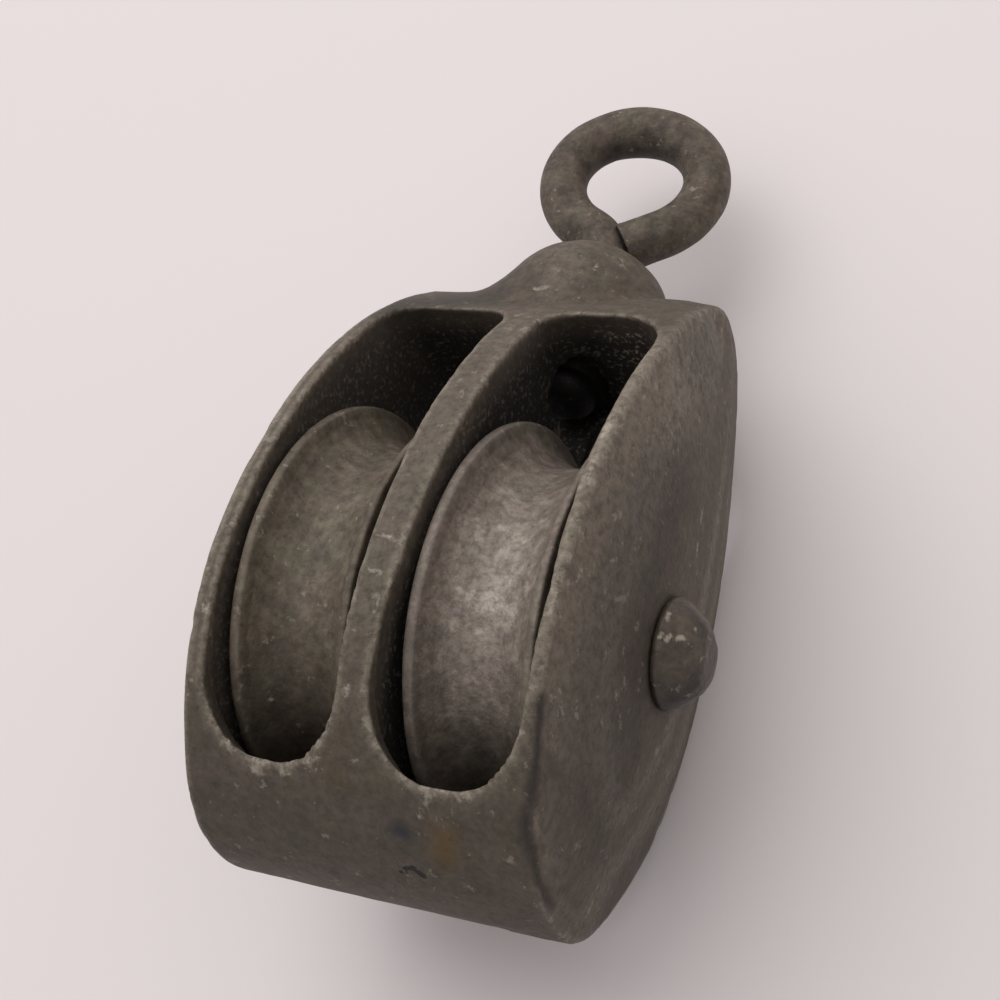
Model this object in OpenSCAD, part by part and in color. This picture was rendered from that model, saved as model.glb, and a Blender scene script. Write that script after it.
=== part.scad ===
// Double-sheave pulley block with a swivel eye, lying on its back.
// X runs along the axle, Y from the tail to the eye, Z up through the windows.

/* [Sheaves] */
// Radius of a sheave over its rims
sheave_r = 25.4; // [22:0.1:30]
// Width of a sheave over its rims
sheave_w = 15.2; // [13:0.1:18]
// Flat land on each side of the rope groove
rim_land = 1.3; // [0.8:0.1:2]
// Depth of the rope groove below the rims
groove_d = 5.0; // [3.5:0.1:6]
// Radius of the hub face on each side of a sheave
hub_r = 9; // [6.5:0.1:11]
// Depth of the lightening recess between hub and rim
recess_d = 1.4; // [0.6:0.1:2.5]
// Depth of metal left between the groove's floor and the recess
groove_wall = 2.4; // [1.8:0.1:4]
// Gap between a sheave and the walls beside it
side_gap = 0.8; // [0.4:0.1:1.5]

/* [Axle] */
// Radius of the axle pin
pin_r = 4.0; // [3:0.1:5]
// Running clearance of a sheave on the pin
pin_gap = 0.06; // [0.02:0.01:0.1]
// Radius of a pin head where it meets the cheek
head_r = 7.2; // [6:0.1:8.5]
// Radius of the hammered head's flat end
head_end_r = 4.7; // [3.5:0.1:5.8]
// Height of a pin head
head_h = 5.0; // [3:0.1:6]
// Corner radius of the hammered head's flat end
head_edge_r = 1.2; // [0.4:0.1:1.6]

/* [Shell] */
// Thickness of the web between the two windows
web_t = 4.8; // [3.5:0.1:7]
// Thickness of a cheek at the axle
cheek_t = 5.1; // [4.4:0.1:8]
// Bow radius of a cheek from front to back
cheek_bow_across = 115; // [100:1:130]
// Bow radius of a cheek from tail to crown
cheek_bow_along = 255; // [200:1:320]
// How far the shell stands out over the sheaves' rims
rim_cover = 0.8; // [0.4:0.1:2]
// Radius of the flanks in side view
flank_r = 61.5; // [58:0.5:70]
// Radius of the hip, where a flank turns to the tail
hip_r = 34.5; // [32:0.5:38]
// Distance from the axle at which a flank turns into a hip
hip_y = 3.5; // [2:0.5:8]
// Thickness of the tail behind the sheaves' pocket
tail_t = 7.1; // [5.5:0.1:8]
// Thickness of the crown above the windows
crown_t = 10.7; // [9.9:0.1:11.5]
// Half width of the shell along its rim
rim_x = 21.2; // [20.6:0.1:22]
// Corner radius from the rim to a cheek
rim_round = 0.9; // [0.5:0.1:1.6]
// Slope of a cheek just inside its rounded corner, in degrees
rim_slope = 14; // [10:1:18]

/* [Windows] */
// Room between a sheave's rims and the pocket behind them
pocket_gap = 1.2; // [0.8:0.1:1.8]
// Room for the rope over a sheave, below the crown
swallow = 11.1; // [10:0.1:13]
// Corner radius of a window at the crown
window_top_r = 4.2; // [3:0.1:6]
// Corner radius of a window at the tail
window_tail_r = 7.4; // [6:0.1:8]
// How far a core that shifted in the mould has put the windows to the right
core_shift = 0.5; // [0:0.1:0.8]

/* [Boss] */
// Radius of the round boss on the crown
boss_r = 11.9; // [10.5:0.1:13]
// Distance from the top of the crown down to the boss's centre
boss_sink = 2.9; // [1.5:0.1:3.5]
// Radius of the flare from the boss to the shoulders
flare_r = 4; // [3:0.1:6]

/* [Swivel eye] */
// Radius of the eye's round rod
rod_r = 3.4; // [2.9:0.1:3.8]
// Radius of the eye's ring, at the middle of the rod
eye_r = 10; // [9:0.1:12]
// How much thinner than the ring's rod the drawn-down shank is
neck_step = 0.02; // [0.02:0.01:0.1]
// Radius of the bend from the shank into the ring
neck_bend_r = 4; // [3.9:0.1:6]
// Gap between the boss and the start of that bend
neck_gap = 0.4; // [0.3:0.1:1.2]
// Angle round the ring, below level, at which the closing strand leaves it
close_angle = 54; // [46:1:60]
// Gap between the strand's end and the neck that it closes on
seam_gap = 0.15; // [0.1:0.05:0.3]
// Turn of the eye about its shank, in degrees
eye_turn = 10.3; // [0:0.1:20]
// Running clearance of the shank in the boss
shank_gap = 0.08; // [0.03:0.01:0.1]
// Radius of the pocket in the web for the shank's end
nest_r = 7.5; // [7:0.1:8.5]
// Height of that pocket below the crown
nest_h = 8.4; // [7.5:0.1:9.5]
// Radius of the washer under the crown
washer_r = 6.0; // [5.4:0.1:6.5]
// Thickness of that washer
washer_t = 1.5; // [1:0.1:2]
// End play of the shank
end_play = 0.2; // [0.1:0.05:0.3]
// Radius of the shank's peened end
peen_r = 4.9; // [4.3:0.1:5.3]
// Height of the peened end
peen_h = 2.6; // [2:0.1:3.2]

/* [Pose] */
// Dip of the block's long axis towards the eye as it lies
lie_dip = 8.7; // [0:0.1:12]
// Depth of the flat worn on the back, where the block lies
worn_flat = 0.3; // [0.1:0.05:0.6]

/* [Hidden] */
$fn = 72;
broad_fn = 180;
reach = 90;
arc_lap = 0.05;

window_w = sheave_w + 2 * side_gap;
sheave_x = (web_t + window_w) / 2;
cheek_in = web_t / 2 + window_w;
cheek_out = cheek_in + cheek_t;

half_t = sheave_r + rim_cover;
pocket_r = sheave_r + pocket_gap;
tail_y = pocket_r + tail_t;
crown_in = sheave_r + swallow;
crown_y = crown_in + crown_t;
window_tail_y = pocket_r - pocket_gap / 2;

groove_half = sheave_w / 2 - rim_land;
groove_r = (groove_half * groove_half + groove_d * groove_d) / (2 * groove_d);
recess_r = sheave_r - groove_d - groove_wall;

// Outline in side view: flank, hip and tail arcs that touch each other,
// each given by its centre and radius, and the same for the crown's end.
flank_c = [0, half_t - flank_r];
hip_p = [-hip_y, flank_c[1] + sqrt(flank_r * flank_r - hip_y * hip_y)];
hip_c = flank_c + (hip_p - flank_c) * (flank_r - hip_r) / flank_r;
tail_a = hip_c[0] + tail_y;
tail_r = (hip_r * hip_r - tail_a * tail_a - hip_c[1] * hip_c[1]) / (2 * (hip_r - tail_a));
tail_c = [tail_r - tail_y, 0];
crown_r = (flank_r * flank_r - crown_y * crown_y - flank_c[1] * flank_c[1])
        / (2 * (flank_r - crown_y));
crown_c = [crown_y - crown_r, 0];
hip_split = [hip_c[0] - hip_c[1] * (hip_p[0] - hip_c[0]) / (hip_p[1] - hip_c[1]), 0];

boss_y = crown_y - boss_sink;
boss_top = boss_y + boss_r;
flare_y = crown_y + flare_r;
flare_x = sqrt(pow(boss_r + flare_r, 2) - pow(flare_y - boss_y, 2));
flare_touch = [flare_x, flare_y - boss_y] * boss_r / (boss_r + flare_r) + [0, boss_y];

shank_r = rod_r - neck_step;
bore_r = shank_r + shank_gap;
neck_lap = 3;
strand_lap = 0.3;
neck_y = boss_top + neck_gap;
eye_rise = sqrt(eye_r * eye_r + 2 * eye_r * neck_bend_r);
eye_y = neck_y + eye_rise;
neck_turn = atan2(eye_rise, neck_bend_r);
washer_y = crown_in - end_play - washer_t;

// Half way between the tail and the eye's end once the block lies down
eye_reach = rod_r + eye_r * sqrt(pow(cos(lie_dip), 2) + pow(sin(lie_dip) * sin(eye_turn), 2));
mid_y = ((eye_y + tail_c[0]) * cos(lie_dip) + eye_reach - tail_r) / 2 - arc_lap
      + flank_c[1] * sin(lie_dip);

// Lays the block down on its worn flat, at z = 0, and centres its length
module lie() {
    translate([0, -mid_y, flank_r - worn_flat]) rotate([-lie_dip, 0, 0])
        translate([0, 0, flank_c[1]]) children();
}

// Puts a side outline's Y and Z in place and runs it along the axle
module along_axle(w) {
    rotate([90, 0, 90]) linear_extrude(w, center = true) children();
}

// Everything on one side of two lines that leave a point on the long axis
module beyond(from, toward) {
    step = (toward - from) * reach / norm(toward - from);
    far = sign(-step[0]) * reach;
    along_axle(2 * reach) polygon([from, from + step, [from[0] + step[0], reach], [far, reach],
        [far, -reach], [from[0] + step[0], -reach], [from[0] + step[0], -step[1]]]);
}

// Where two arcs meet, the smaller one stands out by arc_lap, so that they cross.
// A wheel-shaped solid about an axis along X, with round corners where
// its rim meets the cheeks and cheeks that widen towards its middle
module wheel(c, r) {
    round_c = [r - rim_round, rim_x - rim_round];
    touch = round_c + rim_round * [sin(rim_slope), cos(rim_slope)];
    top = touch[1] + touch[0] * tan(rim_slope);
    translate([0, c[0], c[1]]) rotate([90, 0, 90]) rotate_extrude($fn = broad_fn)
        intersection() {
            union() {
                polygon([[0, -top], [touch[0], -touch[1]], [r, -round_c[1]], [r, round_c[1]],
                    touch, [0, top]]);
                for (side = [-1, 1]) translate([round_c[0], side * round_c[1]])
                    circle(rim_round);
            }
            translate([0, -reach]) square([2 * reach, 2 * reach]);
        }
}

// Both faces of the block have the same arc
module wheel_pair(c, r) {
    intersection() {
        wheel(c, r);
        wheel([c[0], -c[1]], r);
    }
}

// The bowed face of one cheek, as the skin of a wide ring
module cheek_bow(side) {
    translate([side * (cheek_out - cheek_bow_along), 0, 0]) rotate_extrude($fn = 2 * broad_fn)
        translate([cheek_bow_along - cheek_bow_across, 0]) circle(cheek_bow_across, $fn = broad_fn);
}

module casting() {
    intersection() {
        wheel_pair(flank_c, flank_r);
        union() {
            beyond(crown_c, 2 * crown_c - flank_c);
            wheel(crown_c, crown_r + arc_lap);
        }
        union() {
            beyond(hip_split, hip_p);
            intersection() {
                wheel_pair(hip_c, hip_r + arc_lap);
                union() {
                    beyond(tail_c, 2 * tail_c - hip_c);
                    wheel(tail_c, tail_r + 2 * arc_lap);
                }
            }
        }
        cheek_bow(1);
        cheek_bow(-1);
    }
}

// The flare that carries the boss down onto the shoulders
module flare() {
    intersection() {
        wheel_pair(flank_c, flank_r);
        rotate([-90, 0, 0]) rotate_extrude() difference() {
            polygon([[0, crown_c[0]], [flare_x, crown_c[0]], [flare_x, crown_y], flare_touch,
                [0, flare_touch[1]]]);
            translate([flare_x, flare_y]) circle(flare_r);
        }
    }
}

// One window with round corners, larger ones at the tail
module window_outline() {
    half = window_w / 2;
    translate([-half, window_tail_r - window_tail_y])
        square([window_w, crown_in + window_tail_y - window_top_r - window_tail_r]);
    translate([window_top_r - half, 0]) square([window_w - 2 * window_top_r, crown_in]);
    translate([window_tail_r - half, -window_tail_y])
        square([window_w - 2 * window_tail_r, window_tail_y]);
    for (side = [-1, 1]) {
        translate([side * (half - window_top_r), crown_in - window_top_r]) circle(window_top_r);
        translate([side * (half - window_tail_r), window_tail_r - window_tail_y])
            circle(window_tail_r);
    }
}

module window(side) {
    translate([core_shift + side * sheave_x, 0, 0]) {
        linear_extrude(2 * reach, center = true) window_outline();
        rotate([0, 90, 0]) cylinder(h = window_w, r = pocket_r, center = true, $fn = broad_fn);
    }
}

module shell() {
    color("#5b564b") difference() {
        lie() difference() {
            union() {
                casting();
                flare();
                translate([0, boss_y, 0]) rotate([-90, 0, 0]) sphere(boss_r, $fn = broad_fn);
            }
            window(1);
            window(-1);
            rotate([0, 90, 0]) cylinder(h = 2 * reach, r = pin_r, center = true);
            rotate([-90, 0, 0]) cylinder(h = reach, r = bore_r);
            translate([0, crown_in, 0]) rotate([90, 0, 0]) cylinder(h = nest_h, r = nest_r);
        }
        translate([-reach, -reach, -2 * reach]) cube(2 * reach);
    }
}

// A grooved sheave with plain hub faces and a shallow recess on each side
module sheave(side) {
    half = sheave_w / 2;
    lie() translate([core_shift + side * sheave_x, 0, 0]) rotate([0, 90, 0])
        rotate_extrude($fn = broad_fn) difference() {
            translate([pin_r + pin_gap, -half]) square([sheave_r - pin_r - pin_gap, sheave_w]);
            translate([sheave_r - groove_d + groove_r, 0]) circle(groove_r);
            for (face = [-1, 1]) translate([(hub_r + recess_r) / 2, face * half])
                square([recess_r - hub_r, 2 * recess_d], center = true);
        }
}

module left_sheave() {
    color("#5d574d") sheave(-1);
}

module right_sheave() {
    color("#7b736b") sheave(1);
}

// The pin with the head that it was made with on the left and the
// head that was hammered over on the right
module axle_pin() {
    pan_r = (head_r * head_r + head_h * head_h) / (2 * head_h);
    slope = atan2(head_r - head_end_r, head_h);
    corner = [head_end_r - head_edge_r * (1 - sin(slope)) / cos(slope),
        cheek_out + head_h - head_edge_r];
    color("#6b6358") lie() rotate([0, 90, 0]) {
        cylinder(h = 2 * cheek_out, r = pin_r, center = true);
        rotate_extrude() {
            polygon([[0, cheek_out], [head_r, cheek_out],
                corner + head_edge_r * [cos(slope), sin(slope)],
                corner + [0, head_edge_r], [0, cheek_out + head_h]]);
            translate(corner) circle(head_edge_r);
        }
        rotate_extrude() intersection() {
            translate([0, pan_r - cheek_out - head_h]) circle(pan_r, $fn = broad_fn);
            translate([0, -cheek_out - head_h]) square([reach, head_h]);
        }
    }
}

// A round bar bent about a centre, from one angle to another
module bend(c, r, from, to, bar_r) {
    translate(c) rotate([0, 0, from]) rotate_extrude(angle = to - from)
        translate([r, 0]) circle(bar_r);
}

// The shank and the bend that takes it a few degrees into the ring's thicker rod
module neck(bar_r) {
    translate([0, washer_y, 0]) rotate([-90, 0, 0]) cylinder(h = neck_y - washer_y, r = bar_r);
    bend([-neck_bend_r, neck_y, 0], neck_bend_r, 0, neck_turn + neck_lap, bar_r);
}

module swivel_eye() {
    leave = [eye_r * cos(close_angle), eye_y - eye_r * sin(close_angle), 0];
    color("#615a4e") lie() rotate([0, eye_turn, 0]) {
        neck(shank_r);
        bend([0, eye_y, 0], eye_r, -close_angle, 180 + neck_turn, rod_r);
        difference() {
            translate(leave) rotate([90, 0, -close_angle]) translate([0, 0, -strand_lap])
                cylinder(h = strand_lap + leave[0] / sin(close_angle), r = shank_r);
            neck(shank_r + seam_gap);
        }
        translate([0, washer_y, 0]) rotate([90, 0, 0]) {
            cylinder(h = peen_h / 2, r = peen_r);
            translate([0, 0, peen_h / 2]) cylinder(h = peen_h / 2, r1 = peen_r, r2 = shank_r);
        }
    }
}

module swivel_washer() {
    color("#4b463f") lie() translate([0, washer_y, 0]) rotate([-90, 0, 0]) difference() {
        cylinder(h = washer_t, r = washer_r);
        translate([0, 0, -washer_t]) cylinder(h = 3 * washer_t, r = bore_r);
    }
}

shell();
left_sheave();
right_sheave();
axle_pin();
swivel_eye();
swivel_washer();
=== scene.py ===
# %% [markdown]
# # A double pulley block
# A small cast iron pulley block lies on its back on a pale table. Two grooved sheaves stand side
# by side in its windows on one riveted pin, and a round-rod eye swivels in the boss at its head.
# The CAD model gives every place and size. This lesson makes the visible skins over it: worn
# castings, a hammered rivet head and a forged eye, each as a surface worked out with numpy.

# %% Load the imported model
import itertools
import math

import bpy
import numpy as np
from mathutils import Matrix, Vector


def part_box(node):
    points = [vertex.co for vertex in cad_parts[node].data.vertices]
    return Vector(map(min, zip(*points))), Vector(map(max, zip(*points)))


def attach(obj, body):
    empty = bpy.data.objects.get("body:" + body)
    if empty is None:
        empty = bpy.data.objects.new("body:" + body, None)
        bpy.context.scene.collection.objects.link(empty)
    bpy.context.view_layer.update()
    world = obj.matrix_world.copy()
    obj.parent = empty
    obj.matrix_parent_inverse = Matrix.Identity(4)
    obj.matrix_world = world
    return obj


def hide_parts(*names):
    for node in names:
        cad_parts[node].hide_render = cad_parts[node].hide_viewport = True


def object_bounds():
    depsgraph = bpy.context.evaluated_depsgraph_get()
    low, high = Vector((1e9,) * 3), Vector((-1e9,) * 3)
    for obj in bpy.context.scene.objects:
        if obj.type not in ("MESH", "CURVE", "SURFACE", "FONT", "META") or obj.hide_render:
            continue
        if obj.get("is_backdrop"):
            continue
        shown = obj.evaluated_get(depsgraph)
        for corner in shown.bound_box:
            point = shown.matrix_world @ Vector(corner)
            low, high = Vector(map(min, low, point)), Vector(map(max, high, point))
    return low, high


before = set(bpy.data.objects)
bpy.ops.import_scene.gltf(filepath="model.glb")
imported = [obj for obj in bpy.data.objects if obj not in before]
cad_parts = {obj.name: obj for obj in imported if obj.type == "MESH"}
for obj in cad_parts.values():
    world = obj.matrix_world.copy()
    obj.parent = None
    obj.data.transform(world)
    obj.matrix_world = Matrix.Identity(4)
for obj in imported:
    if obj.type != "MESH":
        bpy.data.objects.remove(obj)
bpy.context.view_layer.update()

# %% [markdown]
# ## Two frames
# The castings are symmetrical about the axle, so their formulas are simplest in the block's own
# frame: the origin on the axle, X along it, Y towards the eye, Z out of the windows. The block
# lies with its long axis dipping 8.7 degrees towards the eye. One function turns block
# millimetres into the metres of the shared frame, and the CAD's sheave gives the axle's place.

# %% From block millimetres to the shared frame
DIP = math.radians(8.7)
TURN = np.array([[1, 0, 0],
                 [0, math.cos(DIP), math.sin(DIP)],
                 [0, -math.sin(DIP), math.cos(DIP)]])
low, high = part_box("right_sheave")
AXLE = np.array([0.0, (low.y + high.y) / 2, (low.z + high.z) / 2]) * 1000


def to_frame(points):
    """Turns block points by the dip about X, moves them to the axle, and gives metres."""
    return (points @ TURN.T + AXLE) / 1000


def height_on_table(points):
    """Height over the table in millimetres: the Z of the turned and moved point."""
    return points @ TURN[2] + AXLE[2]


print("axle in mm:", AXLE.round(3))

# %% [markdown]
# ## The camera
# The photograph's camera was solved from the sheaves' rims and the shell's outline. It stands
# some 18 cm from the block, above its tail and right side, with a 55.8 mm lens on a 36 mm
# sensor. It is made first, so that each later step can be looked at from there.

# %% Place the camera
lens_place = np.array([81.64, -68.88, 151.17])
right, down, forward = np.array([[0.8952, 0.3018, -0.3280],
                                 [0.0893, -0.8424, -0.5314],
                                 [-0.4367, 0.4464, -0.7810]]) @ TURN.T
camera_data = bpy.data.cameras.new("camera")
camera_data.lens = 55.8
camera_data.sensor_width = 36
camera_data.clip_start = 0.01
camera = bpy.data.objects.new("camera", camera_data)
bpy.context.scene.collection.objects.link(camera)
camera_turn = Matrix(np.stack([right, -down, -forward], axis=1).tolist()).to_quaternion()
camera.matrix_world = (Matrix.Translation(to_frame(lens_place)) @
                       camera_turn.normalized().to_matrix().to_4x4())
bpy.context.scene.camera = camera
print("camera at", [round(v, 4) for v in camera.location])

# %% [markdown]
# ## Meshes from arrays
# Every new piece is an array of points and an array of quads. A grid of points in rows and
# columns gives its quads by counting. A row that has shrunk to nothing would leave a hole or
# flat faces, so such an end gets one point and a fan of triangles instead.

# %% Turn arrays into a piece
def grid_quads(rows, columns):
    """Quads of a grid whose columns close into a ring: each joins two rows and two columns."""
    r, c = np.meshgrid(np.arange(rows - 1), np.arange(columns), indexing="ij")
    after = (c + 1) % columns
    return np.stack([r * columns + c, r * columns + after,
                     (r + 1) * columns + after, (r + 1) * columns + c], axis=-1).reshape(-1, 4)


def ring_quads(rows, columns):
    """Quads of a grid that closes both ways, as on a ring: the last row joins the first."""
    r, c = np.meshgrid(np.arange(rows), np.arange(columns), indexing="ij")
    next_r, next_c = (r + 1) % rows, (c + 1) % columns
    return np.stack([r * columns + c, r * columns + next_c,
                     next_r * columns + next_c, next_r * columns + c], axis=-1).reshape(-1, 4)


def closed_ends(grid):
    """Points and faces of a tube of rows: quads between rows, and a fan to a middle point at
    each end."""
    rows, columns = grid.shape[:2]
    points = np.concatenate([grid.reshape(-1, 3), grid[0].mean(0)[None], grid[-1].mean(0)[None]])
    c = np.arange(columns)
    after = (c + 1) % columns
    first = np.stack([np.full(columns, rows * columns), after, c], axis=1)
    last = np.stack([np.full(columns, rows * columns + 1), (rows - 1) * columns + c,
                     (rows - 1) * columns + after], axis=1)
    return points, grid_quads(rows, columns).tolist() + first.tolist() + last.tolist()


def make_piece(name, points, faces, node, body, **marks):
    """A smooth mesh from block points in mm. It stands for one CAD node, rides on its body, and
    carries each mark, a number per point, as an attribute. If the signed volume, a sixth of the
    sum of the faces' triple products, is negative, the faces are turned round."""
    place = to_frame(points)
    corners = np.array([[f[0], f[i], f[i + 1]] for f in faces for i in range(1, len(f) - 1)])
    a, b, c = place[corners[:, 0]], place[corners[:, 1]], place[corners[:, 2]]
    volume = float(np.einsum("ij,ij->i", a, np.cross(b, c)).sum() / 6)
    if volume < 0:
        faces = [f[::-1] for f in faces]
    mesh = bpy.data.meshes.new(name)
    mesh.from_pydata(place.tolist(), [], faces)
    mesh.polygons.foreach_set("use_smooth", np.ones(len(mesh.polygons), bool))
    for mark, values in marks.items():
        layer = mesh.attributes.new(mark, "FLOAT", "POINT")
        layer.data.foreach_set("value", np.asarray(values, np.float32))
    mesh.update()
    made = bpy.data.objects.new(name, mesh)
    bpy.context.scene.collection.objects.link(made)
    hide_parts(node)
    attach(made, body)
    print(f"{name}: {len(points)} points, {len(corners)} triangles, "
          f"{abs(volume) * 1e9:.0f} cubic mm")
    return made


print("quads of a tube and of a ring, 3 rows by 4:", len(grid_quads(3, 4)), len(ring_quads(3, 4)))

# %% [markdown]
# ## Rough iron
# Sand casting and years of knocks leave iron uneven at several sizes at once. A hash of whole
# numbers gives each corner of a cubic lattice its own steady value, and a smooth blend between
# the corners gives noise that is the same in every run. Layers of it, each finer and weaker,
# make the rough skins. Metal is only ever taken away, so nothing grows out of the CAD's box.
# Ramps and bell curves say where on the block each kind of unevenness starts and stops.

# %% Ramps, bells and noise
def ramp(value, start, end):
    """0 at start and before it, 1 at end and past it, and a straight line between."""
    return np.clip((value - start) / (end - start), 0, 1)


def bell(value, width):
    """A bell curve, exp(-(value / width)^2): 1 at 0 and about a third at the width."""
    return np.exp(-(value / width) ** 2)


def lattice_noise(points, size, seed):
    """Noise from -1 to 1. Each lattice corner, size mm apart, has a hashed value, and between
    the corners the value is blended with weights 3t^2 - 2t^3 along each axis."""
    place = points / size + 1000.5
    cell = np.floor(place).astype(np.int64)
    t = place - cell
    t = t * t * (3 - 2 * t)
    total = np.zeros(points.shape[:-1])
    for step in itertools.product((0, 1), repeat=3):
        corner = cell + step
        mixed = corner[..., 0] * 73856093 ^ corner[..., 1] * 19349663 ^ corner[..., 2] * 83492791
        mixed = (mixed + seed * 668265263) & 0xFFFFFFFF
        mixed = (mixed ^ (mixed >> 15)) * 2246822519 & 0xFFFFFFFF
        mixed = (mixed ^ (mixed >> 13)) * 3266489917 & 0xFFFFFFFF
        value = ((mixed ^ (mixed >> 16)) & 0xFFFF) / 32767.5 - 1
        weight = np.prod(np.where(step, t, 1 - t), axis=-1)
        total += value * weight
    return total


def rough(points, size, layers, seed):
    """Layers of lattice noise: each is half the size and half the strength of the one before."""
    total = sum(lattice_noise(points, size / 2 ** k, seed + k) / 2 ** k for k in range(layers))
    return total / (2 - 2 ** (1 - layers))


def peaks(points, size, seed, level):
    """Scattered spots for pits and chips: how far the noise stands over a level, 0 elsewhere."""
    return np.clip(lattice_noise(points, size, seed) - level, 0, 1)


test = np.random.default_rng(1).uniform(-30, 30, (20000, 3))
print("noise spread:", rough(test, 5, 3, 7).std().round(3))

# %% [markdown]
# ## The shell
# The shell is one casting with round edges everywhere. It could be a remeshed copy of the CAD
# solid, but its edges would then all be as sharp as the voxels allow. A distance field gives
# each edge its own radius instead: a formula says how far any point is from the iron, negative
# inside, and the surface is where it is zero. The sizes are the CAD's own.

# %% Cut and join
def cut_round(a, b, r):
    """Where both solids are: the larger distance, with the edge between them rounded to r by
    the length of the two distances past r inside."""
    return (np.minimum(-r, np.maximum(a, b)) +
            np.hypot(np.maximum(a + r, 0), np.maximum(b + r, 0)))


def join_round(a, b, r):
    """Where either solid is, with a fillet of radius r: the cut of the two spaces outside."""
    return -cut_round(-a, -b, r)


print("an edge rounded to 1 mm stands back by:", round(float(cut_round(0.0, 0.0, 1.0)), 3))

# %% [markdown]
# ## The side outline
# Seen from the side the casting is a drop of four kinds of arc: a long flank, a tighter hip, the
# tail's end and the crown's end. Each touches the next without a corner, so its centre lies on
# the line through the touching point and the next arc's centre. That gives the two end radii.

# %% Arcs of the side outline
FLANK_C, FLANK_R, HIP_R, TAIL_Y, CROWN_Y = np.array([0.0, -35.3]), 61.5, 34.5, 33.7, 47.2
TOUCH_Y = -3.5
HIP_TOUCH = np.array([TOUCH_Y, FLANK_C[1] + math.sqrt(FLANK_R ** 2 - TOUCH_Y ** 2)])
HIP_C = FLANK_C + (HIP_TOUCH - FLANK_C) * (FLANK_R - HIP_R) / FLANK_R
TAIL_R = ((HIP_R ** 2 - (HIP_C[0] + TAIL_Y) ** 2 - HIP_C[1] ** 2) /
          (2 * (HIP_R - HIP_C[0] - TAIL_Y)))
TAIL_C = np.array([TAIL_R - TAIL_Y, 0.0])
CROWN_R = ((FLANK_R ** 2 - CROWN_Y ** 2 - FLANK_C[1] ** 2) / (2 * (FLANK_R - CROWN_Y)))
CROWN_C = np.array([CROWN_Y - CROWN_R, 0.0])


def past(centre_a, centre_b, y, z):
    """Positive to the left of the line from centre a to centre b: the cross product."""
    d = centre_b - centre_a
    return d[0] * (z - centre_a[1]) - d[1] * (y - centre_a[0])


def off_arc(centre, radius, y, z):
    """Distance to an arc: the distance to its centre less its radius."""
    return np.hypot(y - centre[0], z - centre[1]) - radius


def side_outline(y, z):
    """Distance to the side outline. The arcs touch one another, and a point belongs to the arc
    in whose sector it lies, so its distance is the one to that arc."""
    z = np.abs(z)
    on_hip = past(FLANK_C, HIP_C, y, z) > 0
    on_tail = on_hip & (past(HIP_C, TAIL_C, y, z) > 0)
    flank = np.where(past(FLANK_C, CROWN_C, y, z) < 0, off_arc(CROWN_C, CROWN_R, y, z),
                     off_arc(FLANK_C, FLANK_R, y, z))
    return np.where(on_tail, off_arc(TAIL_C, TAIL_R, y, z),
                    np.where(on_hip, off_arc(HIP_C, HIP_R, y, z), flank))


print("radii of tail and crown in mm:", round(TAIL_R, 2), round(CROWN_R, 2))

# %% [markdown]
# ## Skin, windows and bores
# The outline runs along the axle, is cut by the bowed faces of the cheeks, and is joined to the
# boss. Old moulds were never quite even. The photograph shows rims wider in front, a full left
# cheek at the tail, and a right window whose walls wander, so these are in the field too.

# %% The skin
RIM_X, RIM_ROUND, RIM_LEAN, FRONT_WIDER = 20.9, 0.9, math.radians(14), 0.65
CHEEK_X, BOW_ALONG, BOW_ACROSS, BOW_EDGE = 24.3, 255, 115, 1.0
BOSS_Y, BOSS_R = 44.3, 11.9


def skin_distance(p):
    """Distance to the casting before its windows are cut: the side outline run along the axle
    with a round and a slope on each cheek, cut by the bowed cheek faces, and joined to the round
    boss with a flare, wide on its left. A bowed face is part of a ring's outside, with one
    radius along the block and one across it. The rims are 1.3 mm wider in front than behind,
    and the cheeks stand fuller at the tail, the left one by 0.9 mm."""
    x, y, z = np.abs(p[..., 0]), p[..., 1], p[..., 2]
    along = side_outline(y, z) + RIM_ROUND
    fuller = np.where(p[..., 0] < 0, 0.9 * ramp(z, 16, 10), 0.6 * ramp(z, 8, 0))
    fuller = fuller * ramp(y, -24, -31)
    out = x - RIM_X - FRONT_WIDER * np.clip(z / 12, -1, 1) - fuller + RIM_ROUND
    slope = out * math.cos(RIM_LEAN) + along * math.sin(RIM_LEAN)
    in_corner = (out > 0) & (along * math.cos(RIM_LEAN) > out * math.sin(RIM_LEAN))
    body = np.where(in_corner, np.hypot(along, out), np.maximum(along, slope)) - RIM_ROUND
    ring = np.hypot(x - (CHEEK_X - BOW_ALONG), y) - (BOW_ALONG - BOW_ACROSS)
    body = cut_round(body, np.hypot(ring, z) - BOW_ACROSS, BOW_EDGE)
    boss = np.sqrt(x ** 2 + (y - BOSS_Y) ** 2 + z ** 2) - BOSS_R
    flare = 2.5 - 1.5 * np.clip(p[..., 0] / 6, -1, 1)
    return join_round(body, boss, flare)


probe = np.array([[0, 0, 26.2], [CHEEK_X, 0, 0], [0, -TAIL_Y, 0], [0, 56.2, 0]], float)
print("distances at four points of the CAD surface:", skin_distance(probe).round(2))

# %% The windows and the bores
CORE_X, SHEAVE_X, WINDOW_HALF, CROWN_IN, POCKET_R = 0.5, 10.8, 8.4, 36.5, 26.6
WINDOW_TOP, WINDOW_TAIL, RIGHT_TAIL = 36.1, 25.9, 25.5
TOP_CORNER, WIDE_CORNER, TAIL_CORNER, POCKET_EDGE, CAST_EDGE = 3.9, 7.8, 7.4, 0.6, 0.5
PIN_R, SHANK_BORE_R, NEST_R, NEST_HALF, FLAT_EDGE = 4.0, 3.46, 7.5, 4.2, 0.25


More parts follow.
